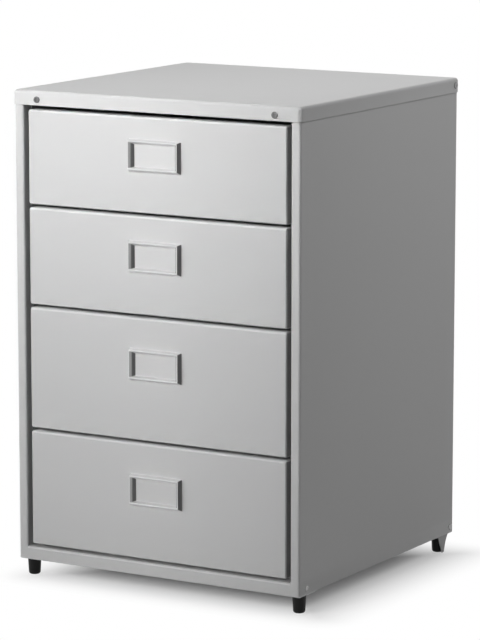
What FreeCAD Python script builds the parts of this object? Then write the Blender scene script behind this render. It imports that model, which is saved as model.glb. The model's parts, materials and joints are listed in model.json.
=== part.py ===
import FreeCAD, Part
import os
import Sketcher

# Filing cabinet of folded steel sheet: four drawers on roller runners, millimetres.
# X runs to the right seen from the front, Y to the back, Z up; Z 0 is the floor.

# Carcass
cabinet_width = 400.0
cabinet_depth = 400.0
sheet = 1.0
bend = 2.5
seat_gap = 0.2
base_height = 18.0
cover_height = 18.0
cover_bend = 4.0
cover_gap = 0.8
stile_width = 12.4
stile_return = 14.0
rear_flange = 16.0
edge_flange = 11.0
upright_width = 30.0
upright_setback = 4.0
top_rail_height = 15.0
top_rail_depth = 18.0
top_rail_lip = 8.0

# Feet and the brackets that hold them
foot_height = 22.0
foot_top = 17.0
foot_bottom = 14.2
foot_edge = 3.0
foot_inset_side = 10.0
foot_inset_front = 18.0
foot_inset_rear = 22.0
bracket_sheet = 1.5
bracket_width = 34.0
bracket_length = 40.0
bracket_leg = 14.0
heel_setback = 14.0
heel_width = 26.0
heel_tip = 6.0
heel_rake = 10.0
heel_drop = 21.0

# Drawers, from the top one down
front_1_height = 115.0
front_2_height = 118.5
front_3_height = 149.0
front_4_height = 142.0
handle_1_drop = 48.2
handle_2_drop = 50.4
handle_3_drop = 58.3
handle_4_drop = 58.9
drawer_gap = 4.0
side_gap = 6.6
front_depth = 18.0
front_recess = 1.0
front_bend = 3.0
front_lip = 14.0
tray_sheet = 0.8
tray_bend = 2.0
tray_rear_room = 27.4
tray_lift = 10.0
tray_drop = 22.0
tray_hem = 5.0

# Handle
handle_width = 73.5
handle_height = 40.0
handle_depth = 7.0
handle_bevel = 2.2
handle_crest = 0.8
handle_rim = 3.6
handle_slope = 2.6
handle_draft = 2.0
bar_bevel = 2.0
bar_rim = 2.4
bar_draft = 1.6
handle_corner = 1.5
handle_edge = 0.3

# Runners, rails and rollers
runner_room = 12.7
runner_sheet = 1.2
runner_flange = 11.0
runner_setback = 2.0
runner_rear_room = 29.4
rail_rise = 4.0
rail_inset = 2.5
rail_lip = 3.0
roller_diameter = 20.0
roller_width = 6.8
roller_chamfer = 0.8
roller_offset = 4.2
rolling_gap = 0.2
passing_gap = 0.5
axle_diameter = 6.0
axle_gap = 0.05
axle_collar = 9.0
axle_head = 1.2
axle_play = 0.2
axle_setback = 14.0
drawer_overlap = 60.0
stop_height = 12.0

# Fasteners
screw_shank = 4.0
screw_head = 8.0
screw_head_height = 2.2
screw_length = 8.0
cover_screw_inset = 35.0
cover_screw_rise = 7.0
side_screw_rise = 9.0
side_screw_rear = 9.0
handle_screw_shank = 3.0
handle_screw_head = 6.0
handle_screw_head_height = 2.0
handle_screw_reach = 3.5
rivet_shank = 4.0
rivet_head = 7.0
rivet_head_height = 1.3
rivet_tail = 1.5
rivet_front = 18.0
rivet_rear = 8.0
rivet_rise = 8.5
hole_gap = 0.15

document = FreeCAD.newDocument("filing_cabinet")
sizes = document.addObject("Spreadsheet::Sheet", "Sizes")


# A length that carries its number and the expression it is worked out from
class Size:
    def __init__(self, value, text):
        self.value = value
        self.text = text

    def __add__(self, other):
        other = as_size(other)
        return Size(self.value + other.value, "(%s + %s)" % (self.text, other.text))

    def __sub__(self, other):
        other = as_size(other)
        return Size(self.value - other.value, "(%s - %s)" % (self.text, other.text))

    def __mul__(self, factor):
        return Size(self.value * factor, "%s * %g" % (self.text, factor))

    def __truediv__(self, divisor):
        return Size(self.value / divisor, "%s / %g" % (self.text, divisor))

    def __neg__(self):
        return self * -1

    __rmul__ = __mul__


def as_size(thing):
    return thing if isinstance(thing, Size) else Size(float(thing), "%g" % thing)


zero = as_size(0)

# Each length above becomes a cell of the sheet, and its name then stands for that cell.
lengths = {name: value for name, value in globals().items() if isinstance(value, float)}
for row, (name, value) in enumerate(lengths.items(), 1):
    sizes.set("A%d" % row, name)
    sizes.set("B%d" % row, "%g" % value)
    sizes.setAlias("B%d" % row, name)
    globals()[name] = Size(value, "Sizes." + name)

front_heights = [front_1_height, front_2_height, front_3_height, front_4_height]
handle_drops = [handle_1_drop, handle_2_drop, handle_3_drop, handle_4_drop]

# Levels and planes that the pieces share
cover_lap = sheet + cover_gap
body_width = cabinet_width - cover_lap * 2
body_depth = cabinet_depth - cover_lap * 2
# The handles reach past the cover; half of that brings the whole part's middle to Y 0.
front_plane = (handle_depth - front_recess - cover_lap) / 2 - body_depth / 2
skin_outer = body_width / 2
skin_inner = skin_outer - sheet
stile_inner = skin_outer - stile_width
tray_half = stile_inner - runner_room
front_half = stile_inner - side_gap
base_top = foot_height + base_height
front_bottoms = []
stack_level = base_top
for height in reversed(front_heights):
    front_bottoms.insert(0, stack_level + drawer_gap)
    stack_level = stack_level + drawer_gap + height
cover_bottom = stack_level + drawer_gap
cover_top = cover_bottom + cover_height
panel_top = cover_top - sheet
panel_height = panel_top - base_top
# The upright walls stop where the cover's bend begins.
cover_inner_bend = cover_bend - sheet
wall_height = panel_height - cover_inner_bend
front_back = front_recess + front_depth
tray_length = body_depth - tray_rear_room - front_back
drawer_travel = tray_length - drawer_overlap
runner_front = front_back + runner_setback
runner_end = body_depth - runner_rear_room
runner_length = runner_end - runner_front
roller_radius = roller_diameter / 2
rail_underside = roller_diameter + rolling_gap + passing_gap
channel_height = rail_underside + runner_sheet + passing_gap
front_axle = runner_front + axle_setback
rear_axle = runner_end - axle_setback
front_axle_rise = rail_underside - rolling_gap - roller_radius
rear_axle_rise = roller_radius + rolling_gap
roller_end = roller_offset + roller_width
rim_inside = handle_bevel + handle_crest + handle_rim
bar_inside = bar_bevel + handle_crest + bar_rim
drawers = range(1, len(front_heights) + 1)
hands = (("left", -1), ("right", 1))


def runner_level(drawer):
    return front_bottoms[drawer - 1] + tray_lift + rail_rise


# Modelling helpers
def bind(item, path, size):
    item.setExpression(path, as_size(size).text)


def new_body(label, x, y, z):
    body = document.addObject("PartDesign::Body", label)
    body.Label = label
    body.AllowCompound = True
    for axis, place in zip("xyz", (x, y, z)):
        bind(body, "Placement.Base." + axis, place)
    return body


def new_sketch(body, plane, shift=(0, 0, 0)):
    sketch = body.newObject("Sketcher::SketchObject", body.Label + "_sketch")
    origin = next(item for item in body.Origin.OriginFeatures if item.Role == plane)
    sketch.AttachmentSupport = [(origin, "")]
    sketch.MapMode = "FlatFace"
    for axis, place in zip("xyz", shift):
        bind(sketch, "AttachmentOffset.Base." + axis, place)
    return sketch


def measure(sketch, kind, edge, end, size):
    size = as_size(size)
    number = sketch.addConstraint(Sketcher.Constraint(kind, -1, 1, edge, end, size.value))
    bind(sketch, "Constraints[%d]" % number, size)


def outline(sketch, corners):
    corners = [(as_size(x), as_size(y)) for x, y in corners]
    first = sketch.GeometryCount
    count = len(corners)
    points = [FreeCAD.Vector(x.value, y.value, 0) for x, y in corners]
    for index in range(count):
        sketch.addGeometry(Part.LineSegment(points[index], points[(index + 1) % count]), False)
    for index in range(count):
        following = first + (index + 1) % count
        sketch.addConstraint(Sketcher.Constraint("Coincident", first + index, 2, following, 1))
    for index, (x, y) in enumerate(corners):
        before_x, before_y = corners[index - 1] if index else (None, None)
        if index and x.text == before_x.text:
            sketch.addConstraint(Sketcher.Constraint("Vertical", first + index - 1))
        else:
            measure(sketch, "DistanceX", first + index, 1, x)
        if index and y.text == before_y.text:
            sketch.addConstraint(Sketcher.Constraint("Horizontal", first + index - 1))
        else:
            measure(sketch, "DistanceY", first + index, 1, y)


def rectangle(sketch, left, right, bottom, top):
    outline(sketch, [(left, bottom), (right, bottom), (right, top), (left, top)])


def circle(sketch, x, y, diameter):
    centre = FreeCAD.Vector(as_size(x).value, as_size(y).value, 0)
    round_edge = Part.Circle(centre, FreeCAD.Vector(0, 0, 1), diameter.value / 2)
    edge = sketch.addGeometry(round_edge, False)
    measure(sketch, "DistanceX", edge, 3, x)
    measure(sketch, "DistanceY", edge, 3, y)
    number = sketch.addConstraint(Sketcher.Constraint("Diameter", edge, diameter.value))
    bind(sketch, "Constraints[%d]" % number, diameter)


def extrude(body, kind, sketch, length, reverse=False):
    feature = body.newObject("PartDesign::" + kind, body.Label + "_" + kind.lower())
    feature.Profile = sketch
    bind(feature, "Length", length)
    feature.Reversed = reverse
    document.recompute()


def pad(body, sketch, length, reverse=False):
    extrude(body, "Pad", sketch, length, reverse)


def pocket(body, sketch, length, reverse=False):
    before = body.Shape.Volume
    extrude(body, "Pocket", sketch, length, reverse)
    if body.Shape.Volume >= before:
        raise RuntimeError(body.Label + ": a pocket cuts nothing")


def revolve(body, sketch, axis="H_Axis"):
    feature = body.newObject("PartDesign::Revolution", body.Label + "_turned")
    feature.Profile = sketch
    feature.ReferenceAxis = (sketch, [axis])
    feature.Angle = 360
    document.recompute()


def lies_at(box, places):
    limits = {"x": (box.XMin, box.XMax), "y": (box.YMin, box.YMax), "z": (box.ZMin, box.ZMax)}
    return all(
        abs(end - as_size(place).value) < 1e-4 for axis, place in places.items() for end in limits[axis]
    )


def picked(elements, kind, choices):
    return [
        "%s%d" % (kind, number)
        for number, element in enumerate(elements, 1)
        if any(lies_at(element.BoundBox, places) for places in choices)
    ]


def fillet_edges(body, radius, names):
    base = body.Tip
    feature = body.newObject("PartDesign::Fillet", body.Label + "_bends")
    feature.Base = (base, names)
    bind(feature, "Radius", radius)
    document.recompute()


def fillet(body, radius, choices):
    fillet_edges(body, radius, picked(body.Tip.Shape.Edges, "Edge", choices))


def shell(body, wall, open_side):
    base = body.Tip
    feature = body.newObject("PartDesign::Thickness", body.Label + "_sheet")
    feature.Base = (base, picked(base.Shape.Faces, "Face", [open_side]))
    bind(feature, "Value", wall)
    feature.Mode = "Skin"
    feature.Join = "Arc"
    feature.Reversed = True
    document.recompute()


# Carcass pieces
def base_pan():
    body = new_body("base_pan", 0, front_plane, foot_height)
    sketch = new_sketch(body, "XY_Plane")
    rectangle(sketch, -skin_outer, skin_outer, zero, body_depth)
    pad(body, sketch, base_height)
    corners = [dict(x=x, y=y) for x in (-skin_outer, skin_outer) for y in (zero, body_depth)]
    fillet(body, bend, corners + [dict(y=zero, z=base_height)])
    shell(body, sheet, dict(z=zero))
    # Rivet holes low on the two sides, front and rear
    holes = new_sketch(body, "YZ_Plane", (0, 0, -skin_outer))
    for setback in (rivet_front, body_depth - rivet_rear):
        circle(holes, setback, rivet_rise, rivet_shank + hole_gap * 2)
    pocket(body, holes, body_width, reverse=True)
    # A tab of each side skirt beside the rear foot, a little short of the floor
    tab_rear = body_depth - heel_setback
    tab_front = tab_rear - heel_width
    tip_front = tab_front + heel_rake
    for side in (-1, 1):
        tab = new_sketch(body, "YZ_Plane", (0, 0, skin_inner if side > 0 else -skin_outer))
        outline(tab, [
            (tab_front, bend),
            (tab_rear, bend),
            (tab_rear, zero),
            (tip_front + heel_tip, -heel_drop),
            (tip_front, -heel_drop),
            (tab_front, zero),
        ])
        pad(body, tab, sheet)


def side_panel(hand, side):
    body = new_body(hand + "_side_panel", 0, front_plane, base_top)
    outer = skin_outer * side
    inner = skin_inner * side
    stile = stile_inner * side
    stile_hollow = (stile_inner + sheet) * side
    flange = (skin_outer - rear_flange) * side
    back_inside = body_depth - sheet
    sketch = new_sketch(body, "XY_Plane")
    outline(sketch, [
        (outer, zero),
        (outer, body_depth),
        (flange, body_depth),
        (flange, back_inside),
        (inner, back_inside),
        (inner, sheet),
        (stile_hollow, sheet),
        (stile_hollow, stile_return),
        (stile, stile_return),
        (stile, zero),
    ])
    pad(body, sketch, wall_height)
    fillet(body, bend, [dict(x=outer, y=zero), dict(x=outer, y=body_depth), dict(x=stile, y=zero)])
    fillet(body, bend - sheet, [
        dict(x=inner, y=sheet),
        dict(x=inner, y=back_inside),
        dict(x=stile_hollow, y=sheet),
    ])
    # Flanges turned in at the bottom and, round the cover's bend, at the top
    flange_edge = (skin_outer - edge_flange) * side
    flange_front = stile_return + seat_gap
    flange_rear = back_inside - sheet - seat_gap
    lower = new_sketch(body, "XY_Plane")
    rectangle(lower, flange_edge, (skin_inner + sheet / 2) * side, flange_front, flange_rear)
    pad(body, lower, sheet)
    upper = new_sketch(body, "XZ_Plane", (0, 0, -flange_front))
    outline(upper, [
        (outer, wall_height),
        (outer, panel_height),
        (flange_edge, panel_height),
        (flange_edge, panel_height - sheet),
        (inner, panel_height - sheet),
        (inner, wall_height),
    ])
    pad(body, upper, flange_rear - flange_front, reverse=True)
    fillet(body, cover_inner_bend, [dict(x=outer, z=panel_height)])
    fillet(body, cover_inner_bend - sheet, [dict(x=inner, z=panel_height - sheet)])
    # Hole for the cover's rear screw
    hole = new_sketch(body, "YZ_Plane", (0, 0, inner - sheet * side))
    rise = cover_bottom + side_screw_rise - base_top
    circle(hole, body_depth - side_screw_rear, rise, screw_shank + hole_gap * 2)
    pocket(body, hole, sheet * 3, reverse=side > 0)


def upright(place, hand, side):
    near = stile_return + upright_setback
    if place == "rear":
        near = runner_end - upright_width - upright_setback
    body = new_body("upright_%s_%s" % (place, hand), 0, front_plane + near, base_top + sheet)
    web = stile_inner * side
    hollow = (stile_inner + sheet) * side
    skin = skin_inner * side
    far = upright_width
    sketch = new_sketch(body, "XY_Plane")
    outline(sketch, [
        (web, zero),
        (web, far),
        (skin, far),
        (skin, far - sheet),
        (hollow, far - sheet),
        (hollow, sheet),
        (skin, sheet),
        (skin, zero),
    ])
    pad(body, sketch, wall_height - sheet)
    fillet(body, sheet, [dict(x=web, y=zero), dict(x=web, y=far)])


def back_panel():
    body = new_body("back_panel", 0, front_plane + body_depth - sheet * 2, base_top)
    sketch = new_sketch(body, "XY_Plane")
    half = skin_inner - (bend - sheet) - seat_gap
    rectangle(sketch, -half, half, zero, sheet)
    pad(body, sketch, wall_height)


def top_cover():
    body = new_body("top_cover", 0, front_plane - cover_lap, cover_bottom)
    half = cabinet_width / 2
    sketch = new_sketch(body, "XY_Plane")
    rectangle(sketch, -half, half, zero, cabinet_depth)
    pad(body, sketch, cover_height)
    corners = [dict(x=x, y=y) for x in (-half, half) for y in (zero, cabinet_depth)]
    fillet(body, cover_bend, corners + [dict(z=cover_height)])
    shell(body, sheet, dict(z=zero))
    hole = screw_shank + hole_gap * 2
    front_holes = new_sketch(body, "XZ_Plane")
    for side in (-1, 1):
        circle(front_holes, (half - cover_screw_inset) * side, cover_screw_rise, hole)
    pocket(body, front_holes, cover_bend)
    side_holes = new_sketch(body, "YZ_Plane", (0, 0, -half))
    circle(side_holes, cover_lap + body_depth - side_screw_rear, side_screw_rise, hole)
    pocket(body, side_holes, cabinet_width, reverse=True)


def top_front_rail():
    body = new_body("top_front_rail", 0, front_plane, panel_top)
    sketch = new_sketch(body, "YZ_Plane", (0, 0, -stile_inner))
    outline(sketch, [
        (zero, zero),
        (top_rail_depth, zero),
        (top_rail_depth, -top_rail_lip),
        (top_rail_depth - sheet, -top_rail_lip),
        (top_rail_depth - sheet, -sheet),
        (sheet, -sheet),
        (sheet, -top_rail_height),
        (zero, -top_rail_height),
    ])
    pad(body, sketch, stile_inner * 2)
    fillet(body, cover_inner_bend, [dict(y=zero, z=zero)])
    fillet(body, cover_inner_bend - sheet, [dict(y=sheet, z=-sheet)])
    fillet(body, sheet, [dict(y=top_rail_depth, z=zero)])
    holes = new_sketch(body, "XZ_Plane")
    level = cover_bottom + cover_screw_rise - panel_top
    for side in (-1, 1):
        place = (cabinet_width / 2 - cover_screw_inset) * side
        circle(holes, place, level, screw_shank + hole_gap * 2)
    pocket(body, holes, sheet * 2)


# Feet
def bracket_starts():
    near = bend + seat_gap
    return near, body_depth - near - bracket_length


def foot_brackets():
    body = new_body("foot_brackets", 0, front_plane, foot_height)
    for start in bracket_starts():
        sketch = new_sketch(body, "XZ_Plane", (0, 0, -start))
        for side in (-1, 1):
            wall = skin_inner * side
            inside = (skin_inner - bracket_sheet) * side
            reach = (skin_inner - bracket_width) * side
            outline(sketch, [
                (wall, zero),
                (wall, bracket_leg),
                (inside, bracket_leg),
                (inside, bracket_sheet),
                (reach, bracket_sheet),
                (reach, zero),
            ])
        pad(body, sketch, bracket_length, reverse=True)
    screw_holes = new_sketch(body, "XY_Plane")
    for x, y in foot_places():
        circle(screw_holes, x, y, screw_shank + hole_gap * 2)
    pocket(body, screw_holes, bracket_sheet, reverse=True)
    rivet_holes = new_sketch(body, "YZ_Plane", (0, 0, -skin_outer))
    for setback in (rivet_front, body_depth - rivet_rear):
        circle(rivet_holes, setback, rivet_rise, rivet_shank + hole_gap * 2)
    pocket(body, rivet_holes, body_width, reverse=True)


def foot_places():
    across = skin_outer - foot_inset_side
    return [(across * side, y) for y in (foot_inset_front, body_depth - foot_inset_rear) for side in (-1, 1)]


def feet():
    names = ("foot_front_left", "foot_front_right", "foot_rear_left", "foot_rear_right")
    for name, (x, y) in zip(names, foot_places()):
        body = new_body(name, x, front_plane + y, 0)
        hole = screw_shank / 2 + hole_gap
        hole_end = foot_height - screw_length - hole_gap
        profile = new_sketch(body, "XZ_Plane")
        outline(profile, [
            (zero, zero),
            (foot_bottom / 2, zero),
            (foot_top / 2, foot_height),
            (hole, foot_height),
            (hole, hole_end),
            (zero, hole_end),
        ])
        revolve(body, profile, "V_Axis")
        fillet(body, foot_edge, [dict(z=zero)])


def foot_screws():
    body = new_body("foot_screws", 0, front_plane, foot_height + bracket_sheet)
    heads = new_sketch(body, "XY_Plane")
    shanks = new_sketch(body, "XY_Plane")
    for x, y in foot_places():
        circle(heads, x, y, screw_head)
        circle(shanks, x, y, screw_shank)
    pad(body, heads, screw_head_height)
    pad(body, shanks, screw_length, reverse=True)


def base_rivets():
    body = new_body("base_rivets", 0, front_plane, foot_height)
    clinch = sheet + bracket_sheet
    for side in (-1, 1):
        inward = side > 0
        face = skin_outer * side
        tail_face = (skin_outer - clinch) * side
        heads = new_sketch(body, "YZ_Plane", (0, 0, face))
        shanks = new_sketch(body, "YZ_Plane", (0, 0, face))
        tails = new_sketch(body, "YZ_Plane", (0, 0, tail_face))
        for setback in (rivet_front, body_depth - rivet_rear):
            circle(heads, setback, rivet_rise, rivet_head)
            circle(shanks, setback, rivet_rise, rivet_shank)
            circle(tails, setback, rivet_rise, (rivet_head + rivet_shank) / 2)
        pad(body, heads, rivet_head_height, reverse=not inward)
        pad(body, shanks, clinch, reverse=inward)
        pad(body, tails, rivet_tail, reverse=inward)
    domes = [dict(x=(skin_outer + rivet_head_height) * side) for side in (-1, 1)]
    fillet(body, rivet_head_height * 0.8, domes)


def cover_screws():
    body = new_body("cover_screws", 0, front_plane - cover_lap, cover_bottom)
    half = cabinet_width / 2
    heads = new_sketch(body, "XZ_Plane")
    shanks = new_sketch(body, "XZ_Plane")
    for side in (-1, 1):
        circle(heads, (half - cover_screw_inset) * side, cover_screw_rise, screw_head)
        circle(shanks, (half - cover_screw_inset) * side, cover_screw_rise, screw_shank)
    pad(body, heads, screw_head_height)
    pad(body, shanks, screw_length, reverse=True)
    setback = cover_lap + body_depth - side_screw_rear
    for side in (-1, 1):
        inward = side > 0
        head = new_sketch(body, "YZ_Plane", (0, 0, half * side))
        circle(head, setback, side_screw_rise, screw_head)
        pad(body, head, screw_head_height, reverse=not inward)
        shank = new_sketch(body, "YZ_Plane", (0, 0, half * side))
        circle(shank, setback, side_screw_rise, screw_shank)
        pad(body, shank, screw_length, reverse=inward)
    rims = [dict(y=-screw_head_height)] + [dict(x=(half + screw_head_height) * side) for side in (-1, 1)]
    fillet(body, screw_head_height * 0.6, rims)


# Runners on the carcass, with the axle of each front roller
def across(side, inset):
    return (stile_inner - inset) * side


def runner(drawer, hand, side):
    body = new_body("runner_%d_%s" % (drawer, hand), 0, front_plane + runner_front, runner_level(drawer))
    flange = across(side, runner_flange)
    web = across(side, runner_sheet)
    top = channel_height + runner_sheet
    sketch = new_sketch(body, "XZ_Plane")
    outline(sketch, [
        (across(side, zero), -runner_sheet),
        (flange, -runner_sheet),
        (flange, zero),
        (web, zero),
        (web, channel_height),
        (flange, channel_height),
        (flange, top),
        (across(side, zero), top),
    ])
    pad(body, sketch, runner_length, reverse=True)
    # Stop tab that the drawer's roller meets when the drawer is pulled right out
    stop_face = rear_axle - runner_front - drawer_travel - roller_radius - passing_gap
    stop = new_sketch(body, "XZ_Plane", (0, 0, -stop_face))
    rectangle(stop, across(side, runner_sheet / 2), across(side, roller_end), rolling_gap, stop_height)
    pad(body, stop, runner_sheet)
    axle = new_sketch(body, "XY_Plane", (0, axle_setback, front_axle_rise))
    head_seat = roller_end - axle_head - axle_play * 2
    axle_outline(axle, side, runner_sheet / 2, roller_offset - axle_play, head_seat + axle_play)
    revolve(body, axle)


def axle_outline(sketch, side, root, collar_end, head_start):
    direction = 1 if collar_end.value > root.value else -1
    head_end = head_start + axle_head * direction
    outline(sketch, [
        (across(side, root), zero),
        (across(side, root), axle_collar / 2),
        (across(side, collar_end), axle_collar / 2),
        (across(side, collar_end), axle_diameter / 2),
        (across(side, head_start), axle_diameter / 2),
        (across(side, head_start), axle_collar / 2),
        (across(side, head_end), axle_collar / 2),
        (across(side, head_end), zero),
    ])


def roller_outline(sketch, side, face, head_face):
    direction = 1 if head_face.value > face.value else -1
    bore = axle_diameter / 2 + axle_gap
    pocket_radius = axle_collar / 2 + axle_play
    shoulder = head_face - (axle_head + axle_play * 2) * direction
    chamfer = roller_chamfer * direction
    outline(sketch, [
        (across(side, face), bore),
        (across(side, shoulder), bore),
        (across(side, shoulder), pocket_radius),
        (across(side, head_face), pocket_radius),
        (across(side, head_face), roller_radius - roller_chamfer),
        (across(side, head_face - chamfer), roller_radius),
        (across(side, face + chamfer), roller_radius),
        (across(side, face), roller_radius - roller_chamfer),
    ])


def rollers(label, y, rise, drawer, face, head_face):
    body = new_body(label, 0, front_plane + y, runner_level(drawer) + rise)
    sketch = new_sketch(body, "XY_Plane")
    for hand, side in hands:
        roller_outline(sketch, side, face, head_face)
    revolve(body, sketch)


# Drawer pieces
def drawer_rail(drawer, hand, side):
    label = "drawer_%d_rail_%s" % (drawer, hand)
    body = new_body(label, 0, front_plane + runner_front, runner_level(drawer))
    tray_side = across(side, runner_room)
    web = across(side, runner_room - runner_sheet)
    lip = across(side, rail_inset)
    lip_inside = across(side, rail_inset + runner_sheet)
    top = rail_underside + runner_sheet
    sketch = new_sketch(body, "XZ_Plane")
    outline(sketch, [
        (tray_side, -runner_sheet),
        (tray_side, top),
        (lip, top),
        (lip, rail_underside - rail_lip),
        (lip_inside, rail_underside - rail_lip),
        (lip_inside, rail_underside),
        (web, rail_underside),
        (web, -runner_sheet),
    ])
    pad(body, sketch, runner_length, reverse=True)
    axle = new_sketch(body, "XY_Plane", (0, rear_axle - runner_front, rear_axle_rise))
    head_seat = roller_offset + axle_head + axle_play * 2
    axle_outline(axle, side, runner_room - runner_sheet / 2, roller_end + axle_play, head_seat - axle_play)
    revolve(body, axle)


def drawer_tray(drawer):
    level = front_bottoms[drawer - 1] + tray_lift
    body = new_body("drawer_%d_tray" % drawer, 0, front_plane + front_back, level)
    height = front_heights[drawer - 1] - tray_lift - tray_drop
    sketch = new_sketch(body, "XY_Plane")
    rectangle(sketch, -tray_half, tray_half, zero, tray_length)
    pad(body, sketch, height)
    corners = [dict(x=x, y=y) for x in (-tray_half, tray_half) for y in (zero, tray_length)]
    fillet(body, tray_bend, corners + [dict(z=zero)])
    shell(body, tray_sheet, dict(z=height))
    # Folded hem along the top of both sides
    hem = new_sketch(body, "XY_Plane", (0, 0, height - tray_sheet))
    for side in (-1, 1):
        root = (tray_half - tray_sheet / 2) * side
        rectangle(hem, root, (tray_half + tray_hem) * side, tray_bend, tray_length - tray_bend)
    pad(body, hem, tray_sheet)


def drawer_front(drawer):
    level = front_bottoms[drawer - 1]
    body = new_body("drawer_%d_front" % drawer, 0, front_plane + front_recess, level)
    height = front_heights[drawer - 1]
    sketch = new_sketch(body, "XZ_Plane")
    rectangle(sketch, -front_half, front_half, zero, height)
    pad(body, sketch, front_depth, reverse=True)
    fillet(body, front_bend, [dict(y=zero)])
    shell(body, sheet, dict(y=front_depth))
    # Lips turned in at the back, which the tray is welded to
    lips = new_sketch(body, "XZ_Plane", (0, 0, -front_depth))
    rectangle(lips, -front_half, front_half, zero, height)
    rectangle(lips, front_lip - front_half, front_half - front_lip, front_lip, height - front_lip)
    pad(body, lips, sheet)
    holes = new_sketch(body, "XZ_Plane")
    for side in (-1, 1):
        place = handle_screw_place() * side
        circle(holes, place, height - handle_drops[drawer - 1], handle_screw_shank + hole_gap * 2)
    pocket(body, holes, sheet * 2)


def handle_screw_place():
    return handle_width / 2 - (rim_inside + handle_draft) / 2


def handle_level(drawer):
    return front_bottoms[drawer - 1] + front_heights[drawer - 1] - handle_drops[drawer - 1]


def drawer_handle(drawer):
    body = new_body("drawer_%d_handle" % drawer, 0, front_plane + front_recess, handle_level(drawer))

    # A block between two distances out from the drawer front, each end set in from the handle's outside
    # by one amount at its posts and another at its bars
    def frame_block(kind, far, far_insets, near, near_insets):
        block = body.newObject("PartDesign::" + kind, body.Label + "_block")
        bind(block, "Ymin", -far)
        bind(block, "Ymax", -near)
        for ends, (post_inset, bar_inset) in (("", far_insets), ("2", near_insets)):
            half = handle_width / 2 - post_inset
            rise = handle_height / 2 - bar_inset
            bind(block, "X%smin" % ends, -half)
            bind(block, "X%smax" % ends, half)
            bind(block, "Z%smin" % ends, -rise)
            bind(block, "Z%smax" % ends, rise)
        document.recompute()

    frame_block("AdditiveWedge", handle_depth, (handle_bevel, bar_bevel), zero, (zero, zero))
    slanted = [
        "Edge%d" % number
        for number, edge in enumerate(body.Tip.Shape.Edges, 1)
        if edge.BoundBox.YLength > handle_depth.value / 2
    ]
    fillet_edges(body, handle_corner, slanted)
    # The rim slopes in to the opening, whose walls are steep
    slope_end = handle_depth - handle_slope
    crest_insides = (handle_bevel + handle_crest, bar_bevel + handle_crest)
    rim_insides = (rim_inside, bar_inside)
    opening_insets = (rim_inside + handle_draft, bar_inside + bar_draft)
    frame_block("SubtractiveWedge", handle_depth, crest_insides, slope_end, rim_insides)
    frame_block("SubtractiveWedge", slope_end, rim_insides, zero, opening_insets)
    fillet(body, handle_edge, [dict(y=-handle_depth)])
    holes = new_sketch(body, "XZ_Plane")
    for side in (-1, 1):
        circle(holes, handle_screw_place() * side, zero, handle_screw_shank + hole_gap * 2)
    pocket(body, holes, handle_screw_reach + hole_gap, reverse=True)


def handle_screws(drawer):
    label = "drawer_%d_handle_screws" % drawer
    body = new_body(label, 0, front_plane + front_recess + sheet, handle_level(drawer))
    heads = new_sketch(body, "XZ_Plane")
    shanks = new_sketch(body, "XZ_Plane")
    for side in (-1, 1):
        circle(heads, handle_screw_place() * side, zero, handle_screw_head)
        circle(shanks, handle_screw_place() * side, zero, handle_screw_shank)
    pad(body, heads, handle_screw_head_height, reverse=True)
    pad(body, shanks, handle_screw_reach + sheet)


base_pan()
back_panel()
top_cover()
top_front_rail()
foot_brackets()
feet()
foot_screws()
base_rivets()
cover_screws()
for hand, side in hands:
    side_panel(hand, side)
    upright("front", hand, side)
    upright("rear", hand, side)
for drawer in drawers:
    for hand, side in hands:
        runner(drawer, hand, side)
        drawer_rail(drawer, hand, side)
    rollers("runner_%d_rollers" % drawer, front_axle, front_axle_rise, drawer, roller_offset, roller_end)
    rollers("drawer_%d_rollers" % drawer, rear_axle, rear_axle_rise, drawer, roller_end, roller_offset)
    drawer_tray(drawer)
    drawer_front(drawer)
    drawer_handle(drawer)
    handle_screws(drawer)

document.recompute()
for item in document.Objects:
    if "Invalid" in item.State or "Error" in item.State:
        raise RuntimeError("%s did not compute: %s" % (item.Label, item.State))

os.makedirs("parts", exist_ok=True)
pieces = [item for item in document.Objects if item.TypeId == "PartDesign::Body"]
for piece in pieces:
    if piece.Shape.isNull() or not piece.Shape.isValid():
        raise RuntimeError(piece.Label + " has no valid shape")
for piece in pieces:
    piece.Shape.exportStep("parts/%s.step" % piece.Label)
    print(piece.Label, len(piece.Shape.Solids), "solids", round(piece.Shape.Volume), "mm3")
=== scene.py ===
import json
import math

import bmesh
import bpy
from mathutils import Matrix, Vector


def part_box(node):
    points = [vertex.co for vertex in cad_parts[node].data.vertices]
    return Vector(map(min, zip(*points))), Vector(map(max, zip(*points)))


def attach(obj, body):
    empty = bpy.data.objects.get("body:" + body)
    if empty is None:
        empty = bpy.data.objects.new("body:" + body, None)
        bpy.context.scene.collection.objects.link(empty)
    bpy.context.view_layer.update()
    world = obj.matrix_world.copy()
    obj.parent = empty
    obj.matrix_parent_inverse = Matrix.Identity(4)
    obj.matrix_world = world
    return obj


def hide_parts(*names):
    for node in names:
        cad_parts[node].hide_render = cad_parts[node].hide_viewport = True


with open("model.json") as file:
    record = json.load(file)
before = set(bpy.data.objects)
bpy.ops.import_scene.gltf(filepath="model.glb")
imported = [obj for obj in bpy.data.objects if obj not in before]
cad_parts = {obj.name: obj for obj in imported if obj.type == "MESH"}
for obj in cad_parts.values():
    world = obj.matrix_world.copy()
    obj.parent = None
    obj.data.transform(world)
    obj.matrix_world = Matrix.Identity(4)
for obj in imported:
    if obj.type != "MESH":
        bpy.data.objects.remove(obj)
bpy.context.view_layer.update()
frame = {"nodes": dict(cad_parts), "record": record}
nodes = frame["nodes"]
mm = 0.001
print("frame loaded,", len(nodes), "nodes")


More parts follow.
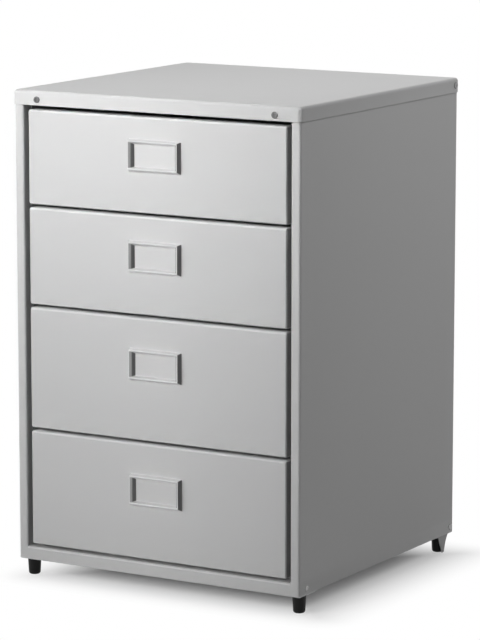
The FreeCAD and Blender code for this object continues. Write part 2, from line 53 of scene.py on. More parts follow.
# one socket of a node tree, with the maths that is used on it
class Wire:
    def __init__(self, tree, socket=None):
        self.tree = tree
        self.socket = socket

    def node(self, kind, settings=None, sockets=None, out=0):
        made = self.tree.nodes.new(kind)
        for name, value in (settings or {}).items():
            setattr(made, name, value)
        for key, value in (sockets or {}).items():
            if isinstance(value, Wire):
                self.tree.links.new(value.socket, made.inputs[key])
            else:
                made.inputs[key].default_value = value
        return Wire(self.tree, made.outputs[out])

    def maths(self, operation, first, second):
        return self.node("ShaderNodeMath", {"operation": operation}, {0: first, 1: second})

    def __add__(self, other):
        return self.maths("ADD", self, other)

    def __radd__(self, other):
        return self.maths("ADD", other, self)

    def __sub__(self, other):
        return self.maths("SUBTRACT", self, other)

    def __rsub__(self, other):
        return self.maths("SUBTRACT", other, self)

    def __mul__(self, other):
        return self.maths("MULTIPLY", self, other)

    def __rmul__(self, other):
        return self.maths("MULTIPLY", other, self)

    def __truediv__(self, other):
        return self.maths("DIVIDE", self, other)

    def __rtruediv__(self, other):
        return self.maths("DIVIDE", other, self)

    def __pow__(self, other):
        return self.maths("POWER", self, other)

    def __abs__(self):
        return self.maths("ABSOLUTE", self, 0.0)

    def clamped(self):
        return self.node("ShaderNodeClamp", {}, {0: self})


def newLook(name):
    look = bpy.data.materials.new(name)
    look.use_nodes = True
    shader = look.node_tree.nodes["Principled BSDF"]
    wire = Wire(look.node_tree)
    return look, shader, wire


def feed(wire, shader, values):
    for name, value in values.items():
        if isinstance(value, Wire):
            wire.tree.links.new(value.socket, shader.inputs[name])
        else:
            shader.inputs[name].default_value = value


def noise(wire, place, scale, detail=2.0, rough=0.5):
    return wire.node("ShaderNodeTexNoise", {"normalize": True},
                     {"Vector": place, "Scale": scale, "Detail": detail, "Roughness": rough})


def stretched(wire, place, scale):
    return wire.node("ShaderNodeMapping", {}, {"Vector": place, "Scale": scale})


def blended(wire, factor, first, second):  # two greys or colours
    return wire.node("ShaderNodeMix", {"data_type": "RGBA"}, {0: factor, 6: first, 7: second}, out=2)


def bumped(wire, height, strength, depth, under=None):
    sockets = {"Height": height, "Strength": strength, "Distance": depth}
    if under:
        sockets["Normal"] = under
    return wire.node("ShaderNodeBump", {}, sockets)


# satin powder coat: slow tone drift, fine peel, faint rub marks, sheet that isn't quite flat;
# painted highlight along the folds and painted shade where a per-point attribute asks for it, inside the gaps
# and on the heel tabs
paintSizes = dict(driftScale=4.0, driftShare=0.75, gritScale=1400.0, gritShare=0.25, skinScale=520.0,
                  skinRough=0.10, waveScale=7.0, waveBump=0.10, waveDepth=0.0012, peelDepth=0.00012,
                  rubScale=3.0, rubStretch=(9.0, 9.0, 55.0), rubFrom=0.62, rubSlope=6.0, rubPolish=0.05,
                  shine=0.45)


def paintLook(name, low, high, foldHighlightGrey, paintedShadeGrey, rough, peel):
    size = paintSizes
    look, shader, wire = newLook(name)
    place = wire.node("ShaderNodeTexCoord", out="Object")
    drift = noise(wire, place, size["driftScale"], detail=3.0)
    grit = noise(wire, place, size["gritScale"], detail=1.0)
    skin = noise(wire, place, size["skinScale"], detail=2.0)
    wave = noise(wire, place, size["waveScale"], detail=1.0)
    rubs = noise(wire, stretched(wire, place, size["rubStretch"]), size["rubScale"], detail=5.0, rough=0.62)
    rubMask = ((rubs - size["rubFrom"]) * size["rubSlope"]).clamped()
    tone = drift * size["driftShare"] + grit * size["gritShare"]
    # per-point attribute: above nought a painted highlight towards the fold grey, below nought a painted
    # shade towards the dark grey
    paintedLightShade = wire.node("ShaderNodeAttribute", {"attribute_name": "paintedLightShade"}, out="Fac")
    colour = blended(wire, paintedLightShade.clamped(), blended(wire, tone, low, high), foldHighlightGrey)
    colour = blended(wire, (0.0 - paintedLightShade).clamped(), colour, paintedShadeGrey)
    normal = bumped(wire, wave, size["waveBump"], size["waveDepth"])
    normal = bumped(wire, skin, peel, size["peelDepth"], normal)
    feed(wire, shader, {
        "Base Color": colour,
        "Roughness": rough + (skin - 0.5) * size["skinRough"] - rubMask * size["rubPolish"],
        "Normal": normal,
        "Specular IOR Level": size["shine"]})
    return look


# plated and bare metals: a base grey, a spangle or a brushed grain
metalSizes = dict(cloudScale=22.0, lineShare=0.4, cloudShare=0.35, facetShare=0.25, lineRough=0.14,
                  facetRough=0.08, bump=0.12, depth=0.00006)


def metalLook(name, low, high, rough, grain, grainScale, spangle):
    size = metalSizes
    look, shader, wire = newLook(name)
    place = wire.node("ShaderNodeTexCoord", out="Object")
    lines = noise(wire, stretched(wire, place, grain), grainScale, detail=3.0, rough=0.6)
    cloud = noise(wire, place, size["cloudScale"], detail=4.0)
    facet = wire.node("ShaderNodeTexVoronoi", {"feature": "F1"},
                      {"Vector": place, "Scale": spangle}, out="Color")
    facetGrey = wire.node("ShaderNodeSeparateColor", {}, {0: facet})
    tone = lines * size["lineShare"] + cloud * size["cloudShare"] + facetGrey * size["facetShare"]
    feed(wire, shader, {
        "Base Color": blended(wire, tone, low, high),
        "Roughness": rough + (lines - 0.5) * size["lineRough"] + (facetGrey - 0.5) * size["facetRough"],
        "Normal": bumped(wire, lines, size["bump"], size["depth"]),
        "Metallic": 1.0})
    return look


# lacquered satin plating: pale where it faces out, up or down; painted shade darkens its walls that face left
# or right
platingSizes = dict(wallShadeFrom=0.25, wallShadeTo=0.90, lineScale=260.0, lineStretch=(1.0, 9.0, 9.0), lineWear=0.12,
                    lineRough=0.14, bump=0.08, depth=0.00005, metallic=0.5)


def handleLook(name, platingGrey, wallShadeGrey, rough):
    size = platingSizes
    look, shader, wire = newLook(name)
    place = wire.node("ShaderNodeTexCoord", out="Object")
    facing = wire.node("ShaderNodeTexCoord", out="Normal")
    sideways = abs(wire.node("ShaderNodeSeparateXYZ", {}, {0: facing}, out=0))
    # how far a face turns left or right sets the painted shade
    turned = wire.node("ShaderNodeMapRange", {"interpolation_type": "SMOOTHSTEP"}, {
        "Value": sideways, "From Min": size["wallShadeFrom"], "From Max": size["wallShadeTo"]})
    lines = noise(wire, stretched(wire, place, size["lineStretch"]), size["lineScale"], detail=3.0, rough=0.6)
    # painted shade on the side walls, broken by the fine lines
    wallShadeAndLines = (turned + (lines - 0.5) * size["lineWear"]).clamped()
    feed(wire, shader, {
        "Base Color": blended(wire, wallShadeAndLines, platingGrey, wallShadeGrey),
        "Roughness": rough + (lines - 0.5) * size["lineRough"],
        "Normal": bumped(wire, lines, size["bump"], size["depth"]),
        "Metallic": size["metallic"]})
    return look


# moulded plastics: soft grain and a faint mottle
plasticSizes = dict(mottleScale=90.0, pitRough=0.16, bump=0.18, depth=0.00010)


def plasticLook(name, low, high, rough, grain, shine):
    size = plasticSizes
    look, shader, wire = newLook(name)
    place = wire.node("ShaderNodeTexCoord", out="Object")
    mottle = noise(wire, place, size["mottleScale"], detail=4.0)
    pits = noise(wire, place, grain, detail=2.0)
    feed(wire, shader, {
        "Base Color": blended(wire, mottle, low, high),
        "Roughness": rough + (pits - 0.5) * size["pitRough"],
        "Normal": bumped(wire, pits, size["bump"], size["depth"]),
        "Specular IOR Level": shine})
    return look


def grey(value, warm=0.0):
    return (value + warm, value, value - warm, 1.0)


looks = {
    # the paint's third grey is a painted highlight, its fourth a painted shade
    "grey_paint": paintLook("greyPaint", low=grey(0.655), high=grey(0.705), foldHighlightGrey=grey(0.86),
                            paintedShadeGrey=grey(0.20), rough=0.42, peel=0.10),
    # the handle's dark grey is painted shade on its side walls
    "satin_nickel": handleLook("satinNickel", platingGrey=grey(0.84), wallShadeGrey=grey(0.13), rough=0.42),
    "zinc_steel": metalLook("zincSteel", low=grey(0.52, -0.008), high=grey(0.68, -0.008), rough=0.40,
                            grain=(1.0, 1.0, 3.0), grainScale=120.0, spangle=160.0),
    "white_nylon": plasticLook("whiteNylon", low=grey(0.76, 0.012), high=grey(0.84, 0.012), rough=0.44,
                               grain=1500.0, shine=0.4),
    "black_plastic": plasticLook("blackPlastic", low=grey(0.006), high=grey(0.011), rough=0.46,
                                 grain=1900.0, shine=0.16),
    "plated_fastener": metalLook("platedFastener", low=grey(0.25), high=grey(0.35), rough=0.52,
                                 grain=(1.0, 1.0, 1.0), grainScale=900.0, spangle=900.0),
}
slotOf = {part["node"]: part["material_slot"] for part in frame["record"]["subparts"]}
for name, node in nodes.items():
    node.data.materials.clear()
    node.data.materials.append(looks[slotOf[name]])
print("looks made,", len(looks))


# an object of a mesh, smooth but for its sharp edges
def finished(name, mesh, slot, crease):
    mesh.polygons.foreach_set("use_smooth", [True] * len(mesh.polygons))
    mesh.set_sharp_from_angle(angle=math.radians(crease))
    mesh.materials.clear()
    mesh.materials.append(looks[slot])
    piece = bpy.data.objects.new(name, mesh)
    bpy.context.scene.collection.objects.link(piece)
    return piece


def meshPiece(name, bm, slot, crease=38.0, weld=0.002 * mm):
    bmesh.ops.remove_doubles(bm, verts=bm.verts, dist=weld)
    bmesh.ops.recalc_face_normals(bm, faces=bm.faces)
    mesh = bpy.data.meshes.new(name)
    bm.to_mesh(mesh)
    bm.free()
    return finished(name, mesh, slot, crease)


def settle(piece, body, slot, *replaced):
    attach(piece, body)
    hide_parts(*replaced)


# corners of a rectangle, each rounded, anticlockwise from low u, low v
def roundedRing(lowU, highU, lowV, highV, corner, steps):
    ring = []
    for u, v, start in ((lowU, lowV, 180), (highU, lowV, 270), (highU, highV, 0), (lowU, highV, 90)):
        centreU = u + corner if u == lowU else u - corner
        centreV = v + corner if v == lowV else v - corner
        for step in range(steps + 1):
            angle = math.radians(start + 90.0 * step / steps)
            ring.append((centreU + corner * math.cos(angle), centreV + corner * math.sin(angle)))
    return ring


# loops joined into a skin, closed at both ends or end to end; the last argument lists a loop,
# some of its points and the painted highlight (above nought) or painted shade (below nought) there
def addLoops(bm, loops, joinEnds=False, paintedLightShades=()):
    mark = bm.verts.layers.float.get("paintedLightShade")
    if paintedLightShades and not mark:
        mark = bm.verts.layers.float.new("paintedLightShade")
    rows = [[bm.verts.new(point) for point in loop] for loop in loops]
    count = len(rows[0])
    for step, points, share in paintedLightShades:
        for k in points:
            rows[step][k][mark] = share
    pairs = list(zip(rows, rows[1:]))
    if joinEnds:
        pairs.append((rows[-1], rows[0]))
    for lower, upper in pairs:
        for k in range(count):
            after = (k + 1) % count
            bm.faces.new((lower[k], lower[after], upper[after], upper[k]))
    if not joinEnds:
        bm.faces.new(list(reversed(rows[0])))
        bm.faces.new(rows[-1])


# insets and heights round a bend of a quarter circle, from the wall to the flat
def quarterBend(radius, steps):
    angles = [math.pi / 2 * k / steps for k in range(1, steps + 1)]
    return [(radius * (1 - math.cos(angle)), radius * math.sin(angle)) for angle in angles]


# top cover: a shallow folded lid, open below
coverSizes = dict(sheet=1.0 * mm, bend=4.0 * mm, corner=2.0 * mm, leastCorner=0.02 * mm, rim=0.25 * mm,
                  steps=8, hold=0.6 * mm, flatFrom=8 * mm)


def makeCover():
    size = coverSizes
    low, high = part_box("top_cover")
    sheet, bend, rim, hold = size["sheet"], size["bend"], size["rim"], size["hold"]
    middle = bend + size["flatFrom"]

    def ring(inset, z, corner):
        corner = max(corner, size["leastCorner"]) + size["corner"]
        flat = roundedRing(low.x + inset, high.x - inset, low.y + inset, high.y - inset,
                           corner, size["steps"])
        return [(u, v, z) for u, v in flat]

    loops = [ring(middle, high.z - sheet, 0)]
    loops.append(ring(bend + hold, high.z - sheet, 0))
    for inset, rise in reversed(quarterBend(bend - sheet, size["steps"])):
        loops.append(ring(sheet + inset, high.z - bend + rise, bend - sheet - inset))
    loops.append(ring(sheet, high.z - bend, bend - sheet))
    loops.append(ring(sheet, high.z - bend - hold, bend - sheet))
    loops.append(ring(sheet, low.z + rim, bend - sheet))
    loops.append(ring(sheet - rim, low.z, bend - sheet + rim))
    loops.append(ring(rim, low.z, bend - rim))
    loops.append(ring(0, low.z + rim, bend))
    loops.append(ring(0, high.z - bend - hold, bend))
    loops.append(ring(0, high.z - bend, bend))
    for inset, rise in quarterBend(bend, size["steps"]):
        loops.append(ring(inset, high.z - bend + rise, bend - inset))
    loops.append(ring(bend + hold, high.z, 0))
    loops.append(ring(middle, high.z, 0))
    bm = bmesh.new()
    addLoops(bm, loops)
    cover = meshPiece("topCover", bm, "grey_paint")
    settle(cover, "cabinet", "grey_paint", "top_cover")


makeCover()


# base pan: folded skirt all round, its front bend only between the stiles, a heel tab beside each rear foot;
# painted highlight along the front bend, painted shade on the heel tabs
panSizes = dict(sheet=1.0 * mm, bend=2.5 * mm, rim=0.2 * mm, steps=6, level=22.8 * mm, stileInner=185.8 * mm,
                stileStep=0.05 * mm, frontBend=2.4 * mm, frontDrop=2.0 * mm, frontHold=0.6 * mm, highlightSteps=3,
                flatFrom=0.8 * mm, flatTo=15 * mm, riseTo=17 * mm, tabFront=160.3 * mm, tabRear=186.3 * mm,
                tipFront=170.3 * mm, tipRear=176.3 * mm, tabFoot=1.0 * mm, tabRound=0.8 * mm, tabSteps=6,
                tabStraight=0.55, tabPaintedShade=-0.4)


def makePan():
    size = panSizes
    low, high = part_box("base_pan")
    floorLevel = size["level"]
    sheet, bend, rim, steps = size["sheet"], size["bend"], size["rim"], size["steps"]
    inner = size["stileInner"]
    outer = inner + size["stileStep"]

    def ring(inset, z, corner, frontIn=0.0, frontDrop=0.0):
        flat = roundedRing(low.x + inset, high.x - inset, low.y + inset, high.y - inset, corner, steps)
        loop = [(u, v, z) for u, v in flat]
        front = low.y + inset
        middle = [(-outer, front, z), (-inner, front + frontIn, z - frontDrop),
                  (inner, front + frontIn, z - frontDrop), (outer, front, z)]
        return loop[:steps + 1] + middle + loop[steps + 1:]

    loops = [ring(sheet, high.z - sheet, bend - sheet)]
    loops.append(ring(sheet, floorLevel + rim, bend - sheet))
    loops.append(ring(sheet - rim, floorLevel, bend - sheet + rim))
    loops.append(ring(rim, floorLevel, bend - rim))
    loops.append(ring(0, floorLevel + rim, bend))
    frontBend = size["frontBend"]
    drop = size["frontDrop"]
    loops.append(ring(0, high.z - frontBend - size["frontHold"], bend, 0, drop))
    loops.append(ring(0, high.z - frontBend, bend, 0, drop))
    # painted highlight along the front bend between the stiles, growing over its first steps
    paintedLightShades = []
    for k, (inset, rise) in enumerate(quarterBend(frontBend, steps)):
        paintedLightShades.append((len(loops), (steps + 2, steps + 3), min(1.0, (k + 1) / size["highlightSteps"])))
        loops.append(ring(0, high.z - frontBend + rise, bend, inset, drop))
    for back, lower in ((size["flatFrom"], drop), (size["flatTo"], drop), (size["riseTo"], 0)):
        loops.append(ring(0, high.z, bend, frontBend + back, lower))
    bm = bmesh.new()
    addLoops(bm, loops, paintedLightShades=paintedLightShades)
    for side in (-1, 1):
        near, far = sorted((high.x * side, (high.x - sheet) * side))
        foot, tabRound = size["tabFoot"], size["tabRound"]
        footEnd = foot + tabRound
        flat = [(size["tabFront"], floorLevel), (size["tipFront"], footEnd),
                (size["tipFront"] + tabRound, foot), (size["tipRear"] - tabRound, foot),
                (size["tipRear"], footEnd)]
        for k in range(1, size["tabSteps"] + 1):  # rear edge sweeps out in a slow curve
            t = k / size["tabSteps"]
            sweep = size["tabStraight"] * t + (1 - size["tabStraight"]) * t ** 3
            y = size["tipRear"] + (size["tabRear"] - size["tipRear"]) * sweep
            flat.append((y, footEnd + (floorLevel - footEnd) * t))
        # painted shade on both faces of the tab
        tabShade = [(step, range(len(flat)), size["tabPaintedShade"]) for step in (0, 1)]
        addLoops(bm, [[(near, y, z) for y, z in flat], [(far, y, z) for y, z in flat]], paintedLightShades=tabShade)
    pan = meshPiece("basePan", bm, "grey_paint")
    settle(pan, "cabinet", "grey_paint", "base_pan")


makePan()


# a folded sheet's outside line in plan: bends, with a held edge on each side of one
def foldedLine(points, bend, steps, hold):
    line = [Vector(points[0])]
    for before, corner, after in zip(points, points[1:], points[2:]):
        corner = Vector(corner)
        back = (Vector(before) - corner).normalized()
        on = (Vector(after) - corner).normalized()
        centre = corner + (back + on) * bend
        line.append(corner + back * (bend + hold))
        for k in range(steps + 1):
            angle = math.pi / 2 * k / steps
            line.append(centre - on * bend * math.cos(angle) - back * bend * math.sin(angle))
        line.append(corner + on * (bend + hold))
    line.append(Vector(points[-1]))
    return line


# the sheet's inside line, a thickness to the left of the outside one
def thickened(line, sheet):
    inside = []
    for k, point in enumerate(line):
        ahead = line[min(k + 1, len(line) - 1)] - point
        behind = point - line[max(k - 1, 0)]
        along = (ahead.normalized() + behind.normalized()).normalized()
        lengthen = 1.0 / max(along.dot(ahead.normalized()) if ahead.length else 1.0, 0.5)
        inside.append(point + Vector((-along.y, along.x)) * sheet * lengthen)
    return line + inside[::-1]


sideSizes = dict(sheet=1.0 * mm, bend=2.5 * mm, stile=12.4 * mm, stileReturn=14.0 * mm, rearFlange=16.0 * mm,
                 edgeFlange=11.0 * mm, topBend=3.0 * mm, topHold=0.2 * mm, foldDrop=5.0 * mm, steps=6,
                 hold=0.6 * mm, frontGap=0.2 * mm, rearGap=2.2 * mm, crease=30.0)


def makeSide(hand, side):
    size = sideSizes
    node = hand + "_side_panel"
    low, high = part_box(node)
    outer = max(abs(low.x), abs(high.x))
    base = low.z
    wallTop = high.z - size["foldDrop"]
    sheet = size["sheet"]
    stile = outer - size["stile"]
    points = [(stile, low.y + size["stileReturn"]), (stile, low.y), (outer, low.y), (outer, high.y),
              (outer - size["rearFlange"], high.y)]
    outline = thickened(foldedLine(points, size["bend"], size["steps"], size["hold"]), sheet)
    bm = bmesh.new()
    addLoops(bm, [[(p.x, p.y, z) for p in outline] for z in (base, wallTop)])
    frontEnd = low.y + size["stileReturn"] + size["frontGap"]
    rearEnd = high.y - size["rearGap"]
    flangeEdge = outer - size["edgeFlange"]
    inside = outer - sheet
    lower = [(flangeEdge, base), (inside, base), (inside, base + sheet), (flangeEdge, base + sheet)]
    addLoops(bm, [[(x, y, z) for x, z in lower] for y in (frontEnd, rearEnd)])
    fold = [(outer, wallTop), (outer, high.z), (flangeEdge, high.z)]
    upper = thickened(foldedLine(fold, size["topBend"], size["steps"], size["topHold"]), sheet)
    addLoops(bm, [[(p.x, y, p.y) for p in upper] for y in (frontEnd, rearEnd)])
    for vert in bm.verts:
        vert.co.x *= side
    panel = meshPiece(hand + "SidePanel", bm, "grey_paint", size["crease"])
    settle(panel, "cabinet", "grey_paint", node)


makeSide("left", -1)
makeSide("right", 1)
print("carcass sheets made")


# drawer front: a pan folded back on four sides, with lips behind; painted highlight round its outer fold,
# painted light on its top and bottom returns, painted shade on its side returns
frontSizes = dict(sheet=1.0 * mm, bend=3.0 * mm, backBend=1.2 * mm, backSteps=4, lip=14.0 * mm,
                  lipRound=0.3 * mm, corner=1.6 * mm, cornerShare=0.45, leastCorner=0.25 * mm, cornerSteps=5,
                  steps=7, hold=0.6 * mm, flatFrom=8 * mm, drop=1.6 * mm, upright=0.25,
                  returnPaintedLight=0.8, returnPaintedShade=-0.75)


def makeFront(number):
    size = frontSizes
    node = "drawer_%d_front" % number
    low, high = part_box(node)
    face, back = low.y, high.y
    bottom, top = low.z - size["drop"], high.z - size["drop"]
    sheet, bend, backBend, hold = size["sheet"], size["bend"], size["backBend"], size["hold"]
    lipRound = size["lipRound"]
    middle = bend + size["flatFrom"]
    turn = size["cornerSteps"] + 1  # points round a corner
    levelEnds = (turn - 1, turn, 3 * turn - 1, 3 * turn)
    uprightEnds = (0, 2 * turn - 1, 2 * turn, 4 * turn - 1)

    def ring(inset, y, bent=0.0):
        corner = max(size["corner"] - (inset + bent) * size["cornerShare"], size["leastCorner"])
        across = inset + bent * size["upright"]
        along = inset + bent
        flat = roundedRing(low.x + across, high.x - across, bottom + along, top - along,
                           corner, size["cornerSteps"])
        return [(u, y, v) for u, v in flat]

    loops = [ring(middle, face + sheet), ring(hold, face + sheet, bend)]
    for inset, rise in reversed(quarterBend(bend - sheet, size["steps"])):
        loops.append(ring(sheet, face + bend - rise, inset))
    loops.append(ring(sheet, face + bend))
    loops.append(ring(sheet, back - sheet - lipRound))
    loops.append(ring(sheet + lipRound, back - sheet))
    loops.append(ring(size["lip"], back - sheet))
    loops.append(ring(size["lip"], back))
    loops.append(ring(backBend + hold, back))
    for inset, rise in reversed(quarterBend(backBend, size["backSteps"])):
        loops.append(ring(inset, back - backBend + rise))
    # painted light on the top and bottom returns, painted shade on the side returns, inside the gaps
    paintedLightShades = []
    for y in (back - backBend, face + bend + hold, face + bend):
        paintedLightShades.append((len(loops), levelEnds, size["returnPaintedLight"]))
        paintedLightShades.append((len(loops), uprightEnds, size["returnPaintedShade"]))
        loops.append(ring(0, y))
    # painted highlight round the outer fold, strongest halfway round
    for k, (inset, rise) in enumerate(quarterBend(bend, size["steps"])):
        paintedLightShades.append((len(loops), range(4 * turn), math.sin(math.pi * (k + 1) / size["steps"])))
        loops.append(ring(0, face + bend - rise, inset))
    loops.append(ring(hold, face, bend))
    loops.append(ring(middle, face))
    bm = bmesh.new()
    addLoops(bm, loops, paintedLightShades=paintedLightShades)
    front = meshPiece("drawer%dFront" % number, bm, "grey_paint")
    settle(front, "drawer_%d" % number, "grey_paint", node)


# frame handle: flared foot, sloping outsides, narrow crest, rim that falls to a steep-walled opening
# section: set in at the posts, at the top bar and at the bottom bar, out from the drawer front, in mm
handleSizes = dict(half=36.75 * mm, rise=20.0 * mm, corner=1.5 * mm, cornerShare=0.1, leastCorner=0.5 * mm,
                   cornerSteps=5, crease=44.0, section=(
    (0.0, 0.0, 0.3, -0.4), (0.0, 0.0, 0.3, 0.0), (0.22, 0.20, 0.5, 0.12), (0.45, 0.41, 0.75, 0.45),
    (0.62, 0.56, 0.95, 0.95), (1.75, 1.59, 3.3, 5.90), (1.92, 1.75, 3.55, 6.42), (2.18, 1.98, 3.85, 6.78),
    (2.50, 2.26, 4.2, 6.96), (2.82, 2.54, 4.5, 7.0), (3.20, 2.86, 4.8, 6.88), (3.62, 3.14, 5.05, 6.56),
    (5.62, 3.95, 5.55, 4.80), (5.94, 4.1, 5.65, 4.50), (6.16, 4.28, 5.72, 4.14), (6.32, 4.52, 5.8, 3.70),
    (7.98, 5.9, 6.4, 0.80), (8.12, 6.15, 6.5, 0.42), (8.32, 6.4, 6.6, 0.14), (8.60, 6.80, 6.8, 0.0),
    (8.60, 6.80, 6.8, -0.4)))


def makeHandle(number):
    size = handleSizes
    node = "drawer_%d_handle" % number
    low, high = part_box(node)
    middle = (low + high) / 2
    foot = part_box("drawer_%d_front" % number)[0].y
    loops = []
    for postIn, topIn, bottomIn, out in size["section"]:
        wide = size["half"] - postIn * mm
        top = middle.z + size["rise"] - topIn * mm
        bottom = middle.z - size["rise"] + bottomIn * mm
        corner = max(size["corner"] - postIn * mm * size["cornerShare"], size["leastCorner"])
        flat = roundedRing(middle.x - wide, middle.x + wide, bottom, top, corner, size["cornerSteps"])
        loops.append([(u, foot - out * mm, v) for u, v in flat])
    bm = bmesh.new()
    addLoops(bm, loops, joinEnds=True)
    handle = meshPiece("drawer%dHandle" % number, bm, "satin_nickel", size["crease"])
    settle(handle, "drawer_%d" % number, "satin_nickel", node)


for number in (1, 2, 3, 4):
    makeFront(number)
    makeHandle(number)
print("drawer fronts and handles made")


# feet: tapered, rounded at the floor, a soft edge where they meet the bracket
# sole: radius and height; collar: set in and down from the top, in mm
footSizes = dict(top=8.5 * mm, bottom=7.1 * mm, edge=3.0 * mm, edgeShare=0.92, bore=2.2 * mm, steps=7,
                 sides=48, crease=50.0, sole=((0.35, 0.0), (2.2, 0.0), (2.6, 0.25), (3.0, 0.0)),
                 collar=((0.12, 1.2), (0.0, 0.8), (0.0, 0.3), (0.3, 0.0)))


def makeFoot(place):
    size = footSizes
    node = "foot_" + place
    low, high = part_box(node)
    middle = (low + high) / 2
    profile = [(radius * mm, z * mm) for radius, z in size["sole"]]
    reach = size["bottom"] - size["edge"] * size["edgeShare"]
    for k in range(size["steps"] + 1):
        angle = math.pi / 2 * k / size["steps"]
        profile.append((reach + size["edge"] * math.sin(angle), size["edge"] * (1 - math.cos(angle))))
    profile += [(size["top"] - inset * mm, high.z - down * mm) for inset, down in size["collar"]]
    profile.append((size["bore"], high.z))
    turn = [2 * math.pi * k / size["sides"] for k in range(size["sides"])]
    loops = []
    for radius, z in profile:
        loops.append([(middle.x + radius * math.cos(a), middle.y + radius * math.sin(a), z) for a in turn])
    bm = bmesh.new()
    addLoops(bm, loops)
    foot = meshPiece("foot." + place, bm, "black_plastic", size["crease"])
    settle(foot, "cabinet", "black_plastic", node)


for place in ("front_left", "front_right", "rear_left", "rear_right"):
    makeFoot(place)
print("feet made")


# points with a facing each, dressed by a node tree and turned into one plain mesh
def dressPoints(name, points, tree, values, body, slot, node, crease=40.0):
    mesh = bpy.data.meshes.new(name + "Points")
    mesh.from_pydata([place for place, facing in points], [], [])
    facings = mesh.attributes.new("facing", "FLOAT_VECTOR", "POINT")
    for k, (place, facing) in enumerate(points):
        facings.data[k].vector = facing
    holder = bpy.data.objects.new(name + "Holder", mesh)
    bpy.context.scene.collection.objects.link(holder)
    modifier = holder.modifiers.new("dress", "NODES")
    modifier.node_group = tree
    for item in tree.interface.items_tree:
        if item.in_out == "INPUT" and item.name in values:
            modifier[item.identifier] = values[item.name]
    depsgraph = bpy.context.evaluated_depsgraph_get()
    plain = bpy.data.meshes.new_from_object(holder.evaluated_get(depsgraph), depsgraph=depsgraph)
    bpy.data.objects.remove(holder)
    bpy.data.meshes.remove(mesh)
    plain.name = name
    settle(finished(name, plain, slot, crease), body, slot, node)


def newTree(name, inputs):
    tree = bpy.data.node_groups.new(name, "GeometryNodeTree")
    tree.interface.new_socket(name="Geometry", in_out="INPUT", socket_type="NodeSocketGeometry")
    for label in inputs:
        kind = "NodeSocketInt" if label == "Seed" else "NodeSocketFloat"
        tree.interface.new_socket(name=label, in_out="INPUT", socket_type=kind)
    tree.interface.new_socket(name="Geometry", in_out="OUTPUT", socket_type="NodeSocketGeometry")
    groupIn = tree.nodes.new("NodeGroupInput")
    given = {label: Wire(tree, groupIn.outputs[label]) for label in ["Geometry"] + list(inputs)}
    return tree, Wire(tree), given


# a head on every point, its Z along the facing, turned by a seeded amount
def onPoints(tree, wire, given, head, mostTurn=6.283):
    facing = wire.node("GeometryNodeInputNamedAttribute", {"data_type": "FLOAT_VECTOR"}, {"Name": "facing"})
    aimed = wire.node("FunctionNodeAlignRotationToVector", {"axis": "Z"}, {"Vector": facing})
    turn = wire.node("FunctionNodeRandomValue", {"data_type": "FLOAT"},
                     {2: 0.0, 3: mostTurn, "Seed": given["Seed"]}, out=1)
    axisTurn = wire.node("FunctionNodeAxisAngleToRotation", {}, {"Axis": (0, 0, 1), "Angle": turn})
    turned = wire.node("FunctionNodeRotateRotation", {"rotation_space": "LOCAL"}, {0: aimed, 1: axisTurn})
    placed = wire.node("GeometryNodeInstanceOnPoints", {},
                       {"Points": given["Geometry"], "Instance": head, "Rotation": turned})
    real = wire.node("GeometryNodeRealizeInstances", {}, {"Geometry": placed})
    groupOut = tree.nodes.new("NodeGroupOutput")
    tree.links.new(real.socket, groupOut.inputs[0])


# a disc to shape a head from: x and y of a point, how far out it is, that as a share, how high as a share
def headDisc(wire, given, rim, walls, rings):
    radius = given["Head Diameter"] * 0.5
    height = given["Head Height"]
    disc = wire.node("GeometryNodeMeshCylinder", {}, {
        "Vertices": rim, "Side Segments": walls, "Fill Segments": rings, "Radius": radius, "Depth": height})
    spot = wire.node("GeometryNodeInputPosition")
    x, y, z = [wire.node("ShaderNodeSeparateXYZ", {}, {0: spot}, out=k) for k in range(3)]
    reach = (x * x + y * y) ** 0.5
    return disc, x, y, reach, reach / radius, z / height + 0.5


# the disc sunk into a head, joined with its shank
def headAndShank(tree, wire, given, disc, sunk, rim):
    moved = wire.node("ShaderNodeCombineXYZ", {}, {2: given["Head Height"] * 0.5 - sunk})
    head = wire.node("GeometryNodeSetPosition", {}, {"Geometry": disc, "Offset": moved})
    shank = wire.node("GeometryNodeMeshCylinder", {}, {
        "Vertices": rim, "Radius": given["Shank Diameter"] * 0.5, "Depth": given["Shank Length"]})
    lowered = wire.node("ShaderNodeCombineXYZ", {}, {2: given["Shank Length"] * -0.5})
    shankPlaced = wire.node("GeometryNodeTransform", {}, {"Geometry": shank, "Translation": lowered})
    join = tree.nodes.new("GeometryNodeJoinGeometry")
    tree.links.new(shankPlaced.socket, join.inputs[0])
    tree.links.new(head.socket, join.inputs[0])
    return Wire(tree, join.outputs[0])


# pan-head screw with a crossed recess, and its shank
screwSizes = {"Head Diameter": 8.0 * mm, "Head Height": 2.2 * mm, "Recess Width": 1.15 * mm,
              "Recess Length": 4.6 * mm, "Recess Depth": 1.1 * mm, "Shank Diameter": 4.0 * mm,
              "Shank Length": 8.0 * mm, "Seed": 5}
screwShape = dict(rim=56, walls=6, rings=14, shankRim=24, crown=0.22, shoulder=0.36,
                  recessFrom=0.9, recessSlope=20.0, recessSoft=0.22 * mm)


